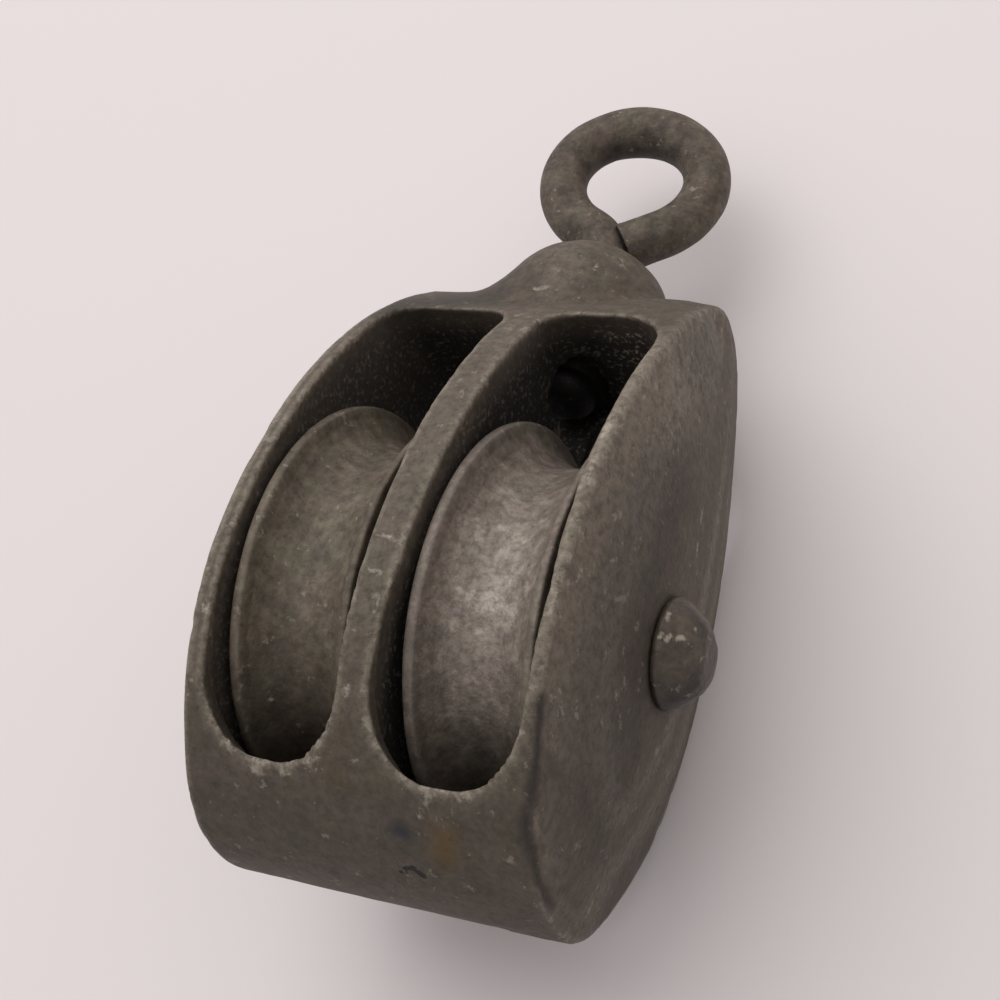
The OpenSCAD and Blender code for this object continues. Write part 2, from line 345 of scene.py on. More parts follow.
def window_distance(p):
    """Distance to the two windows with their round corners, joined to the sheaves' pockets. The
    right window is the less even one: its outer wall stands 0.4 mm further in than the left
    one's, but not just below the axle, and its inner wall runs 0.9 mm outwards near the tail."""
    x, y, z = p[..., 0], p[..., 1], p[..., 2]
    on_right, outer_right = x > CORE_X, x > CORE_X + SHEAVE_X
    wide = np.abs(np.abs(x - CORE_X) - SHEAVE_X)
    wide += (0.4 - 0.5 * bell(y + 9, 7)) * outer_right
    wide -= 0.9 * ramp(y, -5, -17) * (on_right & ~outer_right)
    tail = np.where(on_right, RIGHT_TAIL, WINDOW_TAIL)
    middle, half = (WINDOW_TOP - tail) / 2, (WINDOW_TOP + tail) / 2
    corner = np.where(y > middle, np.where(outer_right, WIDE_CORNER, TOP_CORNER), TAIL_CORNER)
    qx, qy = wide - WINDOW_HALF + corner, np.abs(y - middle) - half + corner
    window = (np.minimum(np.maximum(qx, qy), 0) - corner +
              np.hypot(np.maximum(qx, 0), np.maximum(qy, 0)))
    pocket = cut_round(np.hypot(y, z) - POCKET_R, wide - WINDOW_HALF, POCKET_EDGE)
    return join_round(window, pocket, CAST_EDGE)


def shell_distance(p):
    """Distance to the finished casting: the skin, less the windows, the pin's and the shank's
    bores and the washer's nest, and cut by the table at the worn flat."""
    x, y, z = p[..., 0], p[..., 1], p[..., 2]
    pin_bore = np.hypot(y, z) - PIN_R
    shank_bore = np.maximum(np.hypot(x, z) - SHANK_BORE_R, -y)
    nest = np.maximum(np.hypot(x, z) - NEST_R, np.abs(y - CROWN_IN + NEST_HALF) - NEST_HALF)
    holes = np.minimum(np.minimum(window_distance(p), nest), np.minimum(pin_bore, shank_bore))
    whole = cut_round(skin_distance(p), -holes, CAST_EDGE)
    return cut_round(whole, -height_on_table(p), FLAT_EDGE)


middles = np.array([[CORE_X - SHEAVE_X, 32, 0], [CORE_X, 0, 20], [CORE_X + SHEAVE_X, 32, 0]])
print("distances in a window, in the web and in the other window:",
      shell_distance(middles).round(2))

# %% [markdown]
# ## From distances to a mesh
# Surface nets turn a field into quads. Space is cut into small boxes. Each box that the surface
# crosses gets one point, at the mean of the crossings on its edges, and each lattice edge that
# it crosses gets one quad between the four boxes round it. The boxes are finer near the front
# and back faces, where the edges are, and longer in the plain middle.

# %% Surface nets
def surface_net(distance, axes):
    """Points and quads where distance is zero, for a lattice given by its three axes. A crossing
    on an edge is placed by linear interpolation of the distances at its ends."""
    lattice = np.stack(np.meshgrid(*axes, indexing="ij"), axis=-1)
    value = distance(lattice)
    inside = value < 0
    shape = tuple(len(a) - 1 for a in axes)
    total, count = np.zeros((*shape, 3)), np.zeros(shape)
    edges = []
    for axis in range(3):
        near = [slice(None)] * 3
        far = [slice(None)] * 3
        near[axis], far[axis] = slice(None, -1), slice(1, None)
        near, far = tuple(near), tuple(far)
        crossed = inside[near] != inside[far]
        share = np.where(crossed, value[near] / np.where(crossed, value[near] - value[far], 1), 0)
        point = lattice[near] + share[..., None] * (lattice[far] - lattice[near])
        point *= crossed[..., None]
        others = [a for a in range(3) if a != axis]
        for step in itertools.product((0, 1), repeat=2):
            cut = [slice(None)] * 3
            for a, s in zip(others, step):
                cut[a] = slice(s, shape[a] + s)
            total += point[tuple(cut)]
            count += crossed[tuple(cut)]
        edges.append((crossed, inside[near]))
    rubbed_and_lit_band = count > 0
    number = np.full(shape, -1)
    number[rubbed_and_lit_band] = np.arange(rubbed_and_lit_band.sum())
    quads = []
    for axis, (crossed, starts_inside) in enumerate(edges):
        second, third = (axis + 1) % 3, (axis + 2) % 3
        at = np.argwhere(crossed)
        at = at[(at[:, second] > 0) & (at[:, second] < shape[second]) &
                (at[:, third] > 0) & (at[:, third] < shape[third])]
        back = np.zeros((4, 3), int)
        back[0, second] = back[3, second] = back[0, third] = back[1, third] = 1
        ring = np.stack([number[tuple((at - b).T)] for b in back], axis=1)
        turned = ~starts_inside[tuple(at.T)]
        ring[turned] = ring[turned, ::-1]
        quads.append(ring)
    return total[rubbed_and_lit_band] / count[rubbed_and_lit_band][:, None], np.concatenate(quads)


def slope_of(distance, points, step=0.05, reach=0.45):
    """The field's gradient by central differences, and its bend: the sum of second differences
    over a reach, which is about 1/r on a round edge of radius r and negative in a hollow."""
    offsets = np.eye(3) * step
    ahead = np.stack([distance(points + o) for o in offsets], axis=-1)
    behind = np.stack([distance(points - o) for o in offsets], axis=-1)
    bend = sum(distance(points + o) + distance(points - o) for o in np.eye(3) * reach)
    return (ahead - behind) / (2 * step), (bend - 6 * distance(points)) / reach ** 2


def spaced(stops, steps):
    """An axis of stretches: from each stop to the next in equal steps of about the given size."""
    parts = [np.linspace(a, b, max(2, round((b - a) / s)), endpoint=False)
             for a, b, s in zip(stops[:-1], stops[1:], steps)]
    return np.concatenate([*parts, [stops[-1]]])


ball_points, ball_quads = surface_net(lambda p: np.linalg.norm(p, axis=-1) - 1,
                                      [np.linspace(-1.3, 1.3, 9)] * 3)
print("points less quads on a test ball, 2 if it is closed:",
      len(ball_points) - len(ball_quads))

# %% Mesh the shell
x_half = spaced([0.0, 5.0, 16.5, 26.0], [0.6, 0.95, 0.6])
z_half = spaced([0.0, 11.0, 27.5], [1.0, 0.6])
shell_axes = [np.concatenate([-x_half[:0:-1], x_half]), spaced([-35.0, 58.0], [0.62]),
              np.concatenate([-z_half[:0:-1], z_half])]
shell_points, shell_quads = surface_net(shell_distance, shell_axes)
# Three Newton steps of at most 0.3 mm: back along the slope by distance over slope squared.
for _ in range(3):
    slope = slope_of(shell_distance, shell_points)[0]
    steep = np.maximum((slope ** 2).sum(-1), 0.25)
    off = np.clip(shell_distance(shell_points), -0.3, 0.3)
    shell_points -= slope * off[:, None] / steep[:, None]
print("lattice", [len(a) for a in shell_axes], "quads", len(shell_quads))

# %% [markdown]
# ## Wear, dirt and painted shade on the shell
# The real casting is pale on its rims, which hands and decks have rubbed, and stained and chipped
# between them. Deep in its windows it is made black, partly as old grease and partly as painted
# shade, and painted shade also darkens its tail, its cheeks and the shoulders by its crown. An
# image could be painted on, but it would need seams. Numbers at the mesh's points need none, so
# each kind of mark is an attribute that the iron's material reads: wear, dirt and shade, rust,
# grey, pale, crack and sand. Some follow from the field, and so from the shape. The others are
# short strokes: stains and chips where the real block has them, and painted shade.

# %% Marks along lines
def stroke(points, start, end, width, seed):
    """A mark along the line between two points: 1 on it, falling as a bell curve of the distance
    to the line over the width, with the distance made uneven by noise."""
    start, run = np.array(start, float), np.array(end, float) - start
    share = np.clip((points - start) @ run / max(run @ run, 1e-9), 0, 1)
    away = np.linalg.norm(points - start - share[:, None] * run, axis=1)
    return bell(away * (1 + 0.35 * lattice_noise(points, 1.7, seed)), width)


def strokes(points, lines, seed, seed_step=1):
    """The strongest of several strokes at each point. A line is its start, its end, its width in
    mm and its strength, and its noise has a seed that is seed_step past the line before's."""
    return np.maximum.reduce([strength * stroke(points, start, end, width, seed + k * seed_step)
                              for k, (start, end, width, strength) in enumerate(lines)])


print("stroke at its end and 1 mm away:",
      stroke(np.array([[1.0, 0, 0], [2, 0, 0]]), (0, 0, 0), (1, 0, 0), 1, 7).round(2))

# %% Wear, grease and painted shade on the shell
slope, bend = slope_of(shell_distance, shell_points)
normal = slope / np.linalg.norm(slope, axis=1, keepdims=True)
deep = -skin_distance(shell_points)
side_x, from_axle, height = shell_points.T
on_face = (deep < 0.5) * (height > 2)
# The dark line where the right cheek meets the tail, from the rim down to the corner.
EDGE_STOPS = [(21.3, -17, 21.9), (21.2, -23, 18), (20.4, -27.5, 14.4), (21.2, -30.7, 9.4),
              (21.4, -31.8, 4)]
edge_line = strokes(shell_points, [(start, end, 0.85, 1.0)
                                   for start, end in itertools.pairwise(EDGE_STOPS)], 7, 0)
# The rims' and the web's front faces are rubbed as well, and the windows' lips at the tail.
rim_face = bell(np.abs(side_x) - 21.2, 1.3) * on_face * (from_axle > -20)
web_face = np.exp(-((side_x - CORE_X) / 2.6) ** 4) * on_face * ramp(from_axle, -22, -10)
lip = bell(window_distance(shell_points), 1.1) * (deep < 0.6) * ramp(from_axle, -16, -24)
bend = bend * (1 - 0.6 * ramp(from_axle, 28, 32))
shell_wear = np.clip(0.9 * bend + 0.45 * (rim_face + 0.45 * web_face) + 0.85 * lip, 0, 1)
shell_wear = shell_wear * (1 - 0.9 * edge_line)
# Painted shade: darker towards the tail and towards the table, the sides that face away from the
# lamp.
low_shade = 0.32 * ramp(from_axle, 14, -20) * ramp(height, 31.2, 5.2)
# Painted shade on both cheeks: darkest towards the front and the tail, and a little by the crown.
cheek_shade = 0.47 * np.clip((height - 1) / 8 + ramp(from_axle, 0, -12), 0, 1)
cheek_shade = np.maximum(cheek_shade * ramp(from_axle, 30, 16), 0.07 * (from_axle > 15))
cheek_shade *= ramp(np.abs(side_x), 21.8, 23)
# Painted shade on the two shoulders beside the crown.
painted_shoulder_shade = strokes(shell_points, [((-17, 36.5, 14), (-9, 41, 11), 5, 0.56),
                                   ((21, 32, 12), (21, 38, 8), 5, 0.34)], 4, 0)
# Near-black mark: deep in the windows partly grease and partly painted shade, then the painted
# shade on the tail, cheeks and shoulders, and the dark line.
shell_soot = np.maximum.reduce([0.97 * ramp(deep, 0.5, 4.7), low_shade, cheek_shade, painted_shoulder_shade,
                                0.78 * edge_line])
print("mean wear and soot:", shell_wear.mean().round(3), shell_soot.mean().round(3))

# %% Stains, chips and a crack
RUST_LINES = [((11.2, -29.4, 11.9), (10.6, -30.6, 10), 1.5, 0.75),
              ((-1.5, -26, 15), (-1, -14, 22), 1.4, 0.3)]
GREY_LINES = [((5.6, -29.6, 11.9), (6.3, -29.6, 11.7), 1.15, 1.0)]
CRACK_LINES = [((4.7, -32.4, 6.9), (6.3, -32, 7.8), 0.9, 1.0),
               ((6.3, -32, 7.8), (7.7, -32.3, 7), 0.9, 1.0)]
PALE_LINES = [((-2, 41.6, 12.0), (-0.2, 42, 11.9), 0.5, 0.8),
              ((-3.6, 41.2, 12.0), (-3, 41.3, 12), 0.35, 0.8),
              ((3.9, 42.7, 11.3), (4.1, 42.9, 11.2), 0.5, 0.8),
              ((4.9, 46.5, 10.7), (5, 46.7, 10.6), 0.5, 0.8),
              ((3.1, 45.2, 11.3), (3.2, 45.3, 11.3), 0.4, 0.7),
              ((18.1, -30.1, 11), (18.2, -30, 11), 0.6, 0.75),
              ((23.7, -9.9, 10.3), (23.9, -12.2, 6.4), 0.6, 0.5),
              ((22.6, 23.1, 12), (23.1, 14.9, 13.2), 0.4, 0.5),
              ((23.5, 20.3, 1.1), (24, 12.7, -0.9), 0.4, 0.5),
              ((-19.5, -13, 24.2), (-19.4, -13.5, 24), 0.6, 0.7),
              ((-15.3, -25.7, 16.4), (-14.9, -25.9, 16.2), 0.7, 0.75),
              ((-12, -27, 14.9), (-11.2, -27.1, 14.9), 0.7, 0.75),
              ((-8.6, -26.9, 15.1), (-8, -26.9, 15.1), 0.7, 0.7),
              ((-4.7, -25.8, 16.2), (-3.6, -25, 17), 0.6, 0.6),
              ((9.4, -26.6, 15.4), (8.4, -28.2, 13.5), 0.7, 0.65),
              ((13.4, -26.2, 15.8), (13.8, -26.2, 15.8), 0.6, 0.65),
              ((-18.9, -30.4, 10.6), (-18.8, -30.4, 10.6), 0.6, 0.65),
              ((-3.9, -31.1, 9.5), (-3.8, -31.1, 9.5), 0.6, 0.75),
              ((-0.8, -3, 26.2), (1.2, -3.1, 26.2), 0.5, 0.75),
              ((-0.6, -7.2, 25.7), (1.2, -7.1, 25.7), 0.5, 0.65),
              ((1.4, -9.6, 25.1), (1.4, -11.2, 24.9), 0.5, 0.7),
              ((-0.5, -18.4, 21.8), (-0.5, -19.4, 21.3), 0.5, 0.65),
              ((20, 12, 24.9), (20, 14, 24.6), 0.5, 0.7),
              ((20.3, 6, 25.9), (20.4, 9, 25.7), 0.5, 0.6),
              ((20.8, -6.8, 25.6), (20.8, -9, 25.3), 0.5, 0.7)]
shell_rust = strokes(shell_points, RUST_LINES, 9, 10)
shell_grey = strokes(shell_points, GREY_LINES, 10)
shell_crack = strokes(shell_points, CRACK_LINES, 5, 0)
shell_pale = np.maximum(strokes(shell_points, PALE_LINES, 60), 0.42 * lip)
# The swallow is a window's open end above its sheave. Sand from the mould still sticks deep in
# both, most of it in the right one's far corner.
swallow_sand = 0.25 + 0.75 * ramp(side_x, 6, 12) * ramp(from_axle, 27, 32)
swallow_sand *= ramp(deep, 1.2, 3.2)
print("points with pale chips:", int((shell_pale > 0.5).sum()))

# %% Sink the rough skin and make the casting
dent = rough(shell_points, 13, 2, 3) * 0.10 + rough(shell_points, 4.2, 3, 11) * 0.08
pits = peaks(shell_points, 1.9, 31, 0.55) * 0.22
chipped = peaks(shell_points, 2.0, 47, 0.35) * 0.3 * shell_wear
rubbed = strokes(shell_points, [((21, -33.5, 1), (17, -33.5, 6), 5, 0.7),
                                ((19, 43, 9.5), (20.6, 44.4, 6), 3.3, 0.85)], 12)
sunk = np.clip(0.05 + dent, 0, None) + pits + chipped + 0.15 * shell_crack + rubbed
shell_points = shell_points - normal * sunk[:, None]
below = height_on_table(shell_points)
shell_points -= np.minimum(below, 0)[:, None] * TURN[2]
shell_piece = make_piece("shell_casting", shell_points, shell_quads.tolist(), "shell", "block",
                         wear=shell_wear, soot=shell_soot, rust=shell_rust, grey=shell_grey,
                         pale=shell_pale, crack=shell_crack, sand=swallow_sand)

# %% [markdown]
# ## The sheaves
# A sheave is the grooved wheel that the rope runs over. It is a solid of revolution, which a
# modifier could turn, but points worked out here can be sunk and marked one by one. A half
# profile is carried round the axle: a list of corners, each rounded to its own radius, with an
# arc for the groove. Rope has worn rims and grooves, more on the right, and has thinned the rim
# on each sheave's right. The groove is made paler where it stands up out of the window, partly
# as rope polish and partly as a painted highlight, and the side towards the tail is painted
# darker as shade.

# %% Profile with round corners
def rounded(corners, spacing=0.35):
    """A closed line through corners (x, r, radius). Each corner is replaced by the arc that
    touches both its sides, and straights and arcs get points about spacing mm apart."""
    corner = np.array([c[:2] for c in corners], float)
    radius = np.array([c[2] for c in corners], float)
    line = []
    for k in range(len(corner)):
        before, here, after = corner[k - 1], corner[k], corner[(k + 1) % len(corner)]
        a = (before - here) / np.linalg.norm(before - here)
        b = (after - here) / np.linalg.norm(after - here)
        half = math.acos(np.clip(a @ b, -1, 1)) / 2
        run = radius[k] / math.tan(half)
        count = max(2, round(radius[k] * (math.pi - 2 * half) / spacing) + 2)
        middle = here + (a + b) / np.linalg.norm(a + b) * radius[k] / math.sin(half)
        start = here + a * run - middle
        turn = (math.pi - 2 * half) * np.sign(a[1] * b[0] - a[0] * b[1])
        angle = np.linspace(0, turn, count)
        line.append(middle + np.stack([start[0] * np.cos(angle) - start[1] * np.sin(angle),
                                       start[0] * np.sin(angle) + start[1] * np.cos(angle)], 1))
    line = np.concatenate(line)
    ahead = np.roll(line, -1, axis=0)
    pieces = [np.linspace(p, q, max(1, round(float(np.linalg.norm(q - p)) / spacing)),
                          endpoint=False) for p, q in zip(line, ahead)]
    return np.concatenate(pieces)


RIM_R, RIM_HALF, GROOVE_HALF, GROOVE_DEPTH, BORE_R = 25.4, 7.6, 6.3, 5.0, 4.06
HUB_R, DISH_IN_R, DISH_OUT_R, RIM_IN_R, DISH_HALF, THIN_RIM = 9.0, 9.4, 17.6, 18.2, 6.2, 7.3
GROOVE_STEPS, LIP_ROUND, THIN_LIP_ROUND, GROOVE_JOIN = 13, 0.45, 0.85, 0.02
groove_r = (GROOVE_HALF ** 2 + GROOVE_DEPTH ** 2) / (2 * GROOVE_DEPTH)
groove_angle = math.asin(GROOVE_HALF / groove_r) * np.linspace(-1, 1, GROOVE_STEPS)
lip_rounds = [LIP_ROUND, *[GROOVE_JOIN] * (GROOVE_STEPS - 2), THIN_LIP_ROUND]
groove_line = [(groove_r * math.sin(a), RIM_R - GROOVE_DEPTH + groove_r * (1 - math.cos(a)), r)
               for a, r in zip(groove_angle, lip_rounds)]
# One side from the bore outwards: x, distance from the axis, and the corner's rounding.
dish = [(RIM_HALF, BORE_R, 0.3), (RIM_HALF, HUB_R, 0.3), (DISH_HALF, DISH_IN_R, 0.5),
        (DISH_HALF, DISH_OUT_R, 0.8)]
sheave_line = rounded([*((-x, r, turn_r) for x, r, turn_r in dish), (-RIM_HALF, RIM_IN_R, 0.4),
                       (-RIM_HALF, RIM_R, 0.55), *groove_line, (THIN_RIM, RIM_R, 0.25),
                       (THIN_RIM, RIM_IN_R, 0.4), *reversed(dish)])
print("sheave profile:", len(sheave_line), "points")


# %% Carry the profile round the axle
def revolve(line, steps):
    """Points (x, r cos a, r sin a) for each point of the line and each of steps angles."""
    angle = np.arange(steps) * 2 * math.pi / steps
    x = np.broadcast_to(line[:, 0][:, None], (len(line), steps))
    return np.stack([x, line[:, 1][:, None] * np.cos(angle), line[:, 1][:, None] * np.sin(angle)],
                    axis=-1)


def sheave(name, node, centre_x, seed, spots, polish_and_highlight, worn):
    """One sheave: the revolved profile, sunk towards its axis by a rough skin, and a groove mark
    that is 1 on the groove's floor and falls to 0 at its lips. The polish share, from 0 to 1,
    narrows that mark to the side that stands out of the window, by a bell curve of the angle round
    104 degrees: partly rope polish and partly a painted highlight. It also makes the painted shade
    on the side towards the tail less and the rims darker. Worn is how far the rims and the groove
    have gone down, in mm."""
    grid = revolve(sheave_line, 340)
    radius = np.hypot(grid[..., 1], grid[..., 2])
    at = grid + [seed * 40.0, 0, 0]
    skin = 0.06 + rough(at, 5, 3, seed) * 0.06 + peaks(at, 1.6, seed + 9, 0.5) * 0.16
    skin = skin * ramp(radius, BORE_R + 0.5, BORE_R + 2.5) + worn * ramp(radius, 17, 20)
    shrink = 1 - skin / radius
    grid = grid * np.stack([np.ones_like(shrink), shrink, shrink], axis=-1)
    in_groove = (np.abs(grid[..., 0]) < GROOVE_HALF) & (radius > 18)
    depth = np.clip(np.where(in_groove, (RIM_R - radius) / GROOVE_DEPTH, 0), 0, 1)
    lip_wear = bell(radius - RIM_R, 0.7) * np.where(grid[..., 0] < 0, 1.0, 0.35)
    turned = np.degrees(np.arctan2(grid[..., 2], grid[..., 1]))
    # Partly rope polish, partly a painted highlight: the groove mark kept to a band of angle.
    rubbed_and_lit_band = 1 - polish_and_highlight + polish_and_highlight * bell(turned - 104, 26)
    # Painted shade on the side towards the tail, and darker rims where the polish share is high.
    painted_shade_and_dark_rims = 0.55 * (1 - polish_and_highlight) * ramp(turned, 122, 152) * (turned < 178)
    painted_shade_and_dark_rims = np.maximum(painted_shade_and_dark_rims, 0.24 * lip_wear * polish_and_highlight)
    points = (grid + [centre_x, 0, 0]).reshape(-1, 3)
    pale = strokes(points, [(spot, spot, 0.42, 0.9) for spot in spots], 80)
    faces = ring_quads(*grid.shape[:2]).tolist()
    return make_piece(name, points, faces, node, node, groove=(depth * rubbed_and_lit_band).ravel(),
                      wear=lip_wear.ravel() * 0.6, pale=pale, soot=painted_shade_and_dark_rims.ravel())


left_piece = sheave("left_sheave_worn", "left_sheave", CORE_X - SHEAVE_X, 5,
                    [(-13.3, -3.2, 20.9), (-8.8, -8.6, 18.7), (-11.8, -7.7, 19.1),
                     (-14.8, -18.2, 12.7)], 0.3, 0.25)
right_piece = sheave("right_sheave_worn", "right_sheave", CORE_X + SHEAVE_X, 8,
                     [(8.8, 9.9, 18.4), (11.1, -13.5, 15.3)], 0.75, 0.65)

# %% [markdown]
# ## The axle pin
# The pin carries both sheaves. It has a plain domed head on the left, and on the right a head
# that was hammered over, a blunt cone with flats and ridges left by the blows. Those could be
# sculpted, but a few lines give the same hand-made look: the whole pin is one revolved line,
# and each blow is a plane, to which every point of the right head past it is pushed back.

# %% The line of the pin
HEAD_R, HEAD_H, HEAD_GAP = 7.2, 5.0, 0.02
dome_r = (HEAD_R ** 2 + HEAD_H ** 2) / (2 * HEAD_H)
dome = np.linspace(0.02, math.asin(HEAD_R / dome_r), 24)
dome_line = np.stack([-CHEEK_X - HEAD_H + dome_r * (1 - np.cos(dome)), dome_r * np.sin(dome)], 1)
dome_line[-1] = [-CHEEK_X - HEAD_GAP, HEAD_R - 0.05]
shank_line = np.stack([np.linspace(-24.2, 24.2, 90), np.full(90, PIN_R)], 1)
HEAD_STOPS = np.array([(24.3, 3.9), (24.32, 6.4), (24.9, 6.55), (26.1, 6.0), (27.3, 5.2),
                       (28.3, 4.3), (28.9, 3.4), (29.15, 2.3), (29.2, 0.1)])
run = np.concatenate([[0], np.cumsum(np.linalg.norm(np.diff(HEAD_STOPS, axis=0), axis=1))])
along = np.linspace(0, run[-1], 46)
head_line = np.stack([np.interp(along, run, HEAD_STOPS[:, 0]),
                      np.interp(along, run, HEAD_STOPS[:, 1])], 1)
pin_line = np.concatenate([dome_line, [[-CHEEK_X, PIN_R]], shank_line, head_line])
pin_grid = revolve(pin_line, 120)
print("pin grid:", pin_grid.shape[:2])

# %% Hammer its right head and roughen both
BLOWS, HEAD_FROM = 16, 24.5
chance = np.random.default_rng(5)
on_head = pin_grid[..., 0] > HEAD_FROM
for _ in range(BLOWS):
    lean, round_axis = math.radians(chance.uniform(12, 66)), chance.uniform(0, 2 * math.pi)
    way = np.array([math.cos(lean), math.sin(lean) * math.cos(round_axis),
                    math.sin(lean) * math.sin(round_axis)])
    furthest = (HEAD_STOPS[:, 0] - CHEEK_X) * math.cos(lean) + HEAD_STOPS[:, 1] * math.sin(lean)
    plane = furthest.max() - chance.uniform(0.05, 0.42)
    past_plane = np.clip((pin_grid - [CHEEK_X, 0, 0]) @ way - plane, 0, None) * on_head
    pin_grid = pin_grid - past_plane[..., None] * way * 0.92
head_rough = rough(pin_grid, 2.6, 3, 21) * 0.08 + 0.06
head_rough *= ramp(np.abs(pin_grid[..., 0]), HEAD_FROM, HEAD_FROM + 1)
outward = pin_grid * [0, 1, 1]
outward[..., 0] = np.sign(pin_grid[..., 0]) * 4
outward /= np.linalg.norm(outward, axis=-1, keepdims=True)
pin_points, pin_faces = closed_ends(pin_grid - outward * head_rough[..., None])
# Painted highlights on the right head, and the head darker below them, towards the table and most
# of all low on the tail's side.
PAINTED_GLINTS = [((25.2, 2.1, 6.0), (25.3, 1.1, 6.2), 0.42, 0.78),
          ((25.0, -1.2, 6.3), (25.2, -0.6, 6.3), 0.42, 0.78),
          ((25.8, -1.2, 6.0), (26.1, -0.5, 5.9), 0.42, 0.78),
          ((26.8, -0.6, 5.5), (27.2, -0.4, 5.2), 0.42, 0.78),
          ((28.0, 1.5, 4.2), (28.2, 1.1, 4.2), 0.42, 0.78)]
pin_x, pin_y, pin_z = pin_points.T
darker_low = 0.5 * ramp(pin_z, 5.5, 0.5)
darker_low += 0.28 * ramp(pin_z, 3.2, 1.2) * ramp(pin_y, 0.5, -1.5) * ramp(pin_x, 27.4, 26.2)
pin_piece = make_piece("riveted_pin", pin_points, pin_faces, "axle_pin", "block",
                       pale=strokes(pin_points, PAINTED_GLINTS, 30), soot=darker_low)

# %% [markdown]
# ## The swivel eye
# The eye is one bent rod: its shank comes up out of the boss, bends left into the ring, goes all
# the way round, and its end is cut to butt against the neck. A curve with a round bevel would
# make the ring but not that end, so a circle of points is carried along the line. The ring's
# top is a little flatter and thicker than the rest, as the hammer left it. The cut end is found
# by bisection: each line of the strand runs on until it is a hair from the neck, which gives the
# saddle-shaped end and the seam of the real one. A cap of smaller hoops closes it. The shank in
# the boss and the cut end in its seam are painted black as shade, and the ring's inner top is
# darkened partly as dirt and partly as painted shade.

# %% The rod's middle line
ROD_R, SHANK_R, RING_R, BEND_R, RING_X = 3.4, 3.38, 10.0, 6.0, 0.35
NECK_Y, WASHER_Y, EYE_TURN, CLOSE = 55.35, 34.8, math.radians(10.3), math.radians(54)
TOP_FLAT, TOP_THICK = 0.42, 0.22
ring_y = NECK_Y + math.sqrt((RING_R + BEND_R) ** 2 - (RING_X + BEND_R) ** 2)
bend_end = math.atan2(ring_y - NECK_Y, BEND_R + RING_X)


def straight(start, end, step):
    """Points from start to end, and their common direction."""
    start, end = np.array(start, float), np.array(end, float)
    count = max(2, round(float(np.linalg.norm(end - start)) / step))
    points = np.linspace(start, end, count, endpoint=False)
    way = (end - start) / np.linalg.norm(end - start)
    return points, np.broadcast_to(way, points.shape)


def arc(centre, radius, start, end, step):
    """Points of an arc about centre, and their directions of travel, square to the radius."""
    count = max(2, round(abs(end - start) * radius / step))
    angle = np.linspace(start, end, count, endpoint=False)
    spoke = np.stack([np.cos(angle), np.sin(angle)], 1)
    ahead = np.stack([-spoke[:, 1], spoke[:, 0]], 1) * np.sign(end - start)
    return np.array(centre) + radius * spoke, ahead


lines = [straight((0, WASHER_Y), (0, NECK_Y), 0.5),
         arc((-BEND_R, NECK_Y), BEND_R, 0, bend_end, 0.3),
         arc((RING_X, ring_y), RING_R, math.pi + bend_end, -CLOSE, 0.3)]
middle_line = np.concatenate([points for points, way in lines])
middle_way = np.concatenate([way for points, way in lines])
in_ring = np.arange(len(middle_line)) >= len(lines[0][0]) + len(lines[1][0])
spoke = middle_line - [RING_X, ring_y]
at_top = bell(np.arctan2(spoke[:, 1], spoke[:, 0]) - math.pi / 2, 0.75) * in_ring
middle_line = middle_line - spoke / RING_R * TOP_FLAT * at_top[:, None]
leave = np.array([RING_X + RING_R * math.cos(CLOSE), ring_y - RING_R * math.sin(CLOSE)])
leave_way = np.array([-math.sin(CLOSE), -math.cos(CLOSE)])
bent_mm = float(np.linalg.norm(np.diff(middle_line, axis=0), axis=1).sum())
print("rod from the washer to the end of the ring, in mm:", round(bent_mm, 1))


# %% Carry a circle along the rod
AROUND, SEAM, LONGEST, SADDLE_DEPTH, CUT_ROUND = 76, 0.12, 7.8, 1.3, 0.25
round_rod = np.arange(AROUND) * 2 * math.pi / AROUND


def hoop(points, way, radius):
    """A circle of the given radius square to the line at each point: the line's left-hand normal
    times the cosine plus Z times the sine."""
    left = np.stack([-way[:, 1], way[:, 0], np.zeros(len(way))], 1)
    centre = np.concatenate([points, np.zeros((len(points), 1))], 1)
    radius = np.broadcast_to(radius, len(points))[:, None, None]
    return centre[:, None] + radius * (left[:, None] * np.cos(round_rod)[:, None] +
                                       np.array([0, 0, 1.0]) * np.sin(round_rod)[:, None])


def neck_distance(p):
    """Distance from the middle line of the neck: its straight below the bend, else its arc."""
    on_arc = p[..., 1] > NECK_Y
    bent = np.hypot(np.hypot(p[..., 0] + BEND_R, p[..., 1] - NECK_Y) - BEND_R, p[..., 2])
    return np.where(on_arc, bent, np.hypot(p[..., 0], p[..., 2]))


def strand_row(share, back):
    """One hoop of the strand's end at a share of its radius: every point runs down the strand's
    direction until it is SEAM mm from the neck, found by halving, and comes back by back mm."""
    start = hoop(leave[None], leave_way[None], ROD_R * share)[0]
    way = np.array([*leave_way, 0.0])
    near, far = np.zeros(AROUND), np.full(AROUND, LONGEST)
    for _ in range(26):
        half = (near + far) / 2
        clear = neck_distance(start + half[:, None] * way) > SHANK_R + SEAM
        near, far = np.where(clear, half, near), np.where(clear, far, half)
    near = np.minimum(near, near.min() + SADDLE_DEPTH)
    return start, way, near - back


print("the strand leaves the ring at", leave.round(2), "and the neck bends at", NECK_Y)

